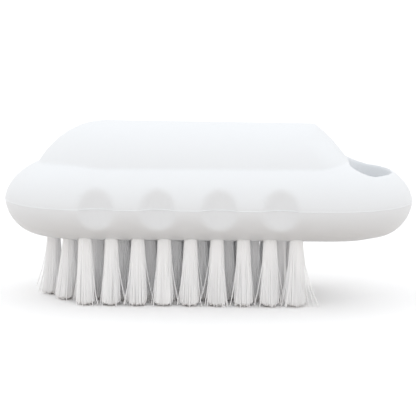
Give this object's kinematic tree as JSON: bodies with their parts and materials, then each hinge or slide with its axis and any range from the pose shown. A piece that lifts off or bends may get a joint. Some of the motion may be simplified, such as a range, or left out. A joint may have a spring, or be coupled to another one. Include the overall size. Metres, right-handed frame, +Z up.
{
  "type": "nail brush",
  "caption": "White plastic nail brush: a rounded hand grip with finger dimples and a hanging slot, on rows of nylon bristle tufts.",
  "frame": {"origin": "on the plane of the bristle tips, under the middle of the handle's outline", "axes": "+X along the handle towards the hanging slot, +Z up from the bristle tips to the hump, +Y across"},
  "size_m": [0.115, 0.0486, 0.0498],
  "materials": {
    "shell": "satin white moulded plastic with a very fine grain",
    "bristle": "white nylon filament, slightly translucent"
  },
  "bodies": {
    "root": {"top_cover": "shell", "tuft_base": "shell", "tuft_01": "bristle", "tuft_02": "bristle", "tuft_03": "bristle", "tuft_04": "bristle", "tuft_05": "bristle", "tuft_06": "bristle", "tuft_07": "bristle", "tuft_08": "bristle", "tuft_09": "bristle", "tuft_10": "bristle", "tuft_11": "bristle", "tuft_12": "bristle", "tuft_13": "bristle", "tuft_14": "bristle", "tuft_15": "bristle", "tuft_16": "bristle", "tuft_17": "bristle", "tuft_18": "bristle", "tuft_19": "bristle", "tuft_20": "bristle", "tuft_21": "bristle", "tuft_22": "bristle", "tuft_23": "bristle", "tuft_24": "bristle", "tuft_25": "bristle", "tuft_26": "bristle", "tuft_27": "bristle", "tuft_28": "bristle", "tuft_29": "bristle", "tuft_30": "bristle", "tuft_31": "bristle", "tuft_32": "bristle", "tuft_33": "bristle", "tuft_34": "bristle", "tuft_35": "bristle", "tuft_36": "bristle", "tuft_37": "bristle", "tuft_38": "bristle", "tuft_39": "bristle", "tuft_40": "bristle", "tuft_41": "bristle", "tuft_42": "bristle", "tuft_43": "bristle", "tuft_44": "bristle", "tuft_45": "bristle", "tuft_46": "bristle"}
  },
  "joints": []
}
